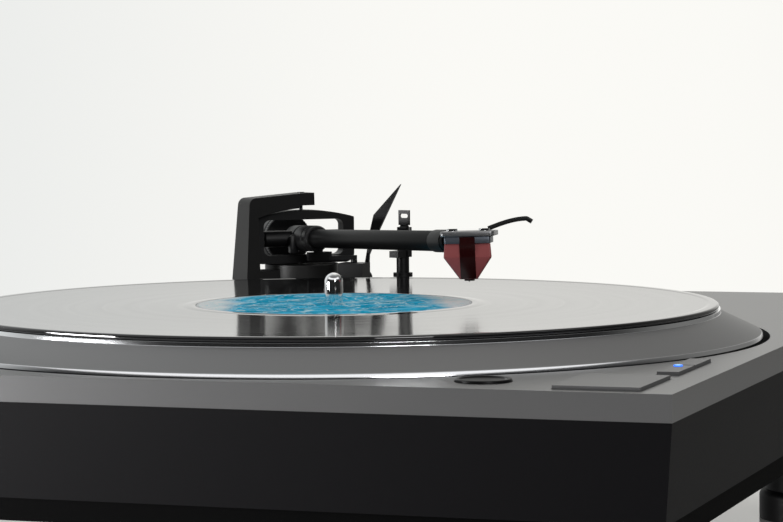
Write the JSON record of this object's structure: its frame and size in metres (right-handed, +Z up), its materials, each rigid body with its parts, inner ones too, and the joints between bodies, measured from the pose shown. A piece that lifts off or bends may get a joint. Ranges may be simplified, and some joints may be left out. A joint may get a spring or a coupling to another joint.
{
  "type": "turntable record player",
  "caption": "Direct-drive turntable: black plinth with a grey metal top plate, bevelled platter with a record, straight black tonearm in a gimbal, raised over the record, on round feet.",
  "frame": {"origin": "centre of the footprint, on the surface the feet stand on", "axes": "+X to the right and +Y to the rear as seen by someone using it, +Z up; the control buttons are at the front left and the tonearm at the right"},
  "size_m": [0.435, 0.355, 0.1459],
  "materials": {
    "anthracite_plate": "satin",
    "black_body": "matt, finely grained",
    "base_black": "matt",
    "foot_rubber": "matt",
    "foot_plastic": "matt",
    "steel": "bright",
    "dark_steel": "blackened",
    "polished_steel": "polished",
    "bronze": "sintered",
    "white_plastic": "matt",
    "core_steel": "laminated",
    "copper": "enamelled wire",
    "board_green": "lacquered circuit board",
    "dark_panel": "matt",
    "gold": "plated",
    "platter_metal": "satin cone with polished edges",
    "magnet": "sintered",
    "mat_rubber": "matt",
    "vinyl": "glossy, grooved",
    "label_paper": "printed paper with a marbled swirl",
    "key_metal": "satin",
    "light_blue": "clear, lit",
    "dial_black": "satin",
    "arm_black": "satin black",
    "tube_black": "satin black",
    "shell_grey": "anodised",
    "cart_grey": "anodised",
    "cart_red": "deep translucent red",
    "stylus_red": "dark"
  },
  "bodies": {
    "chassis": {"plinth_body": "black_body", "top_plate": "anthracite_plate", "base_board": "base_black", "base_screws": "dark_steel", "foot_stems": "foot_plastic", "foot_pads": "foot_rubber", "foot_screws": "steel", "bearing_housing": "bronze", "bearing_screws": "steel", "thrust_pad": "white_plastic", "stator_core": "core_steel", "stator_coils": "copper", "motor_board": "board_green", "main_board": "board_green", "power_board": "board_green", "board_screws": "steel", "rear_panel": "dark_panel", "rca_sockets": "gold", "ground_terminal": "steel", "dc_inlet": "dark_panel", "key_switches": "dark_panel", "key_board": "board_green", "tonearm_base": "arm_black", "base_plate_screws": "dark_steel", "bearing_frame": "arm_black", "upper_pivot_screw": "dark_steel", "lower_pivot_screw": "dark_steel", "cue_housing": "arm_black", "arm_rest": "arm_black", "clip_pin": "steel", "anti_skate_post": "steel"},
    "platter_group": {"spindle": "polished_steel", "platter": "platter_metal", "rotor_cup": "platter_metal", "rotor_magnet": "magnet", "platter_mat": "mat_rubber", "record": "vinyl", "record_label": "label_paper"},
    "start_key": {"start_button": "key_metal"},
    "speed_key_33": {"speed_button_33": "key_metal", "speed_light": "light_blue"},
    "speed_key_45": {"speed_button_45": "key_metal"},
    "dial": {"power_dial": "dial_black"},
    "switch_slider": {"phono_switch": "white_plastic"},
    "gimbal": {"gimbal_ring": "arm_black", "ring_pivot_screws": "dark_steel"},
    "arm": {"arm_hub": "arm_black", "arm_tube": "tube_black", "headshell": "shell_grey", "finger_lift": "arm_black", "cartridge_mount": "cart_grey", "cartridge_body": "cart_red", "stylus": "stylus_red", "cartridge_screws": "polished_steel"},
    "weight": {"counterweight": "arm_black"},
    "weight_dial": {"force_dial": "dial_black"},
    "lift": {"lift_platform": "arm_black"},
    "lever": {"cue_lever": "arm_black"},
    "anti_skate": {"anti_skate_dial": "dial_black"},
    "clip": {"rest_clip": "arm_black"}
  },
  "joints": [
    {"name": "platter_spin", "type": "hinge", "parent": "chassis", "child": "platter_group", "pos_m": [-0.042, 0.0025, 0.106], "axis": [0, 0, 1], "continuous": true},
    {"name": "arm_swing", "type": "hinge", "parent": "chassis", "child": "gimbal", "pos_m": [0.14273, 0.08786, 0.1208], "axis": [0, 0, 1], "range_deg": [-3, 36]},
    {"name": "arm_tilt", "type": "hinge", "parent": "gimbal", "child": "arm", "pos_m": [0.14273, 0.08786, 0.1208], "axis": [0.6218, -0.7832, 0], "range_deg": [0, 2.1]},
    {"name": "cue_lever_turn", "type": "hinge", "parent": "chassis", "child": "lever", "pos_m": [0.14958, 0.05866, 0.10275], "axis": [1, 0, 0], "range_deg": [0, 50]},
    {"name": "lift_slide", "type": "slide", "parent": "chassis", "child": "lift", "axis": [0, 0, -1], "range_m": [0, 0.0012]},
    {"name": "weight_slide", "type": "slide", "parent": "arm", "child": "weight", "axis": [0.7824, 0.6213, -0.0427], "range_m": [0, 0.0025]},
    {"name": "force_dial_turn", "type": "hinge", "parent": "arm", "child": "weight_dial", "pos_m": [0.15995, 0.10153, 0.11986], "axis": [-0.7824, -0.6213, 0.0427], "range_deg": [-150, 150]},
    {"name": "anti_skate_turn", "type": "hinge", "parent": "chassis", "child": "anti_skate", "pos_m": [0.18873, 0.07886, 0.0934], "axis": [0, 0, 1], "range_deg": [0, 270]},
    {"name": "rest_clip_turn", "type": "hinge", "parent": "chassis", "child": "clip", "pos_m": [0.13433, 0.03415, 0.126], "axis": [0.2681, 0.9634, 0], "range_deg": [0, 85]},
    {"name": "start_press", "type": "slide", "parent": "chassis", "child": "start_key", "axis": [0, 0, -1], "range_m": [0, 0.0008], "stiffness_N_per_m": 900, "springref_m": -0.0006},
    {"name": "speed_33_press", "type": "slide", "parent": "chassis", "child": "speed_key_33", "axis": [0, 0, -1], "range_m": [0, 0.0008], "stiffness_N_per_m": 900, "springref_m": -0.0006},
    {"name": "speed_45_press", "type": "slide", "parent": "chassis", "child": "speed_key_45", "axis": [0, 0, -1], "range_m": [0, 0.0008], "stiffness_N_per_m": 900, "springref_m": -0.0006},
    {"name": "power_turn", "type": "hinge", "parent": "chassis", "child": "dial", "pos_m": [-0.194, -0.1075, 0.0934], "axis": [0, 0, -1], "range_deg": [0, 60]},
    {"name": "phono_switch_slide", "type": "slide", "parent": "chassis", "child": "switch_slider", "axis": [1, 0, 0], "range_m": [0, 0.0034]}
  ],
  "couplings": [
    {"joint": "arm_tilt", "follows": "cue_lever_turn", "ratio": 0.042},
    {"joint": "lift_slide", "follows": "cue_lever_turn", "m_per_rad": 0.001375}
  ]
}
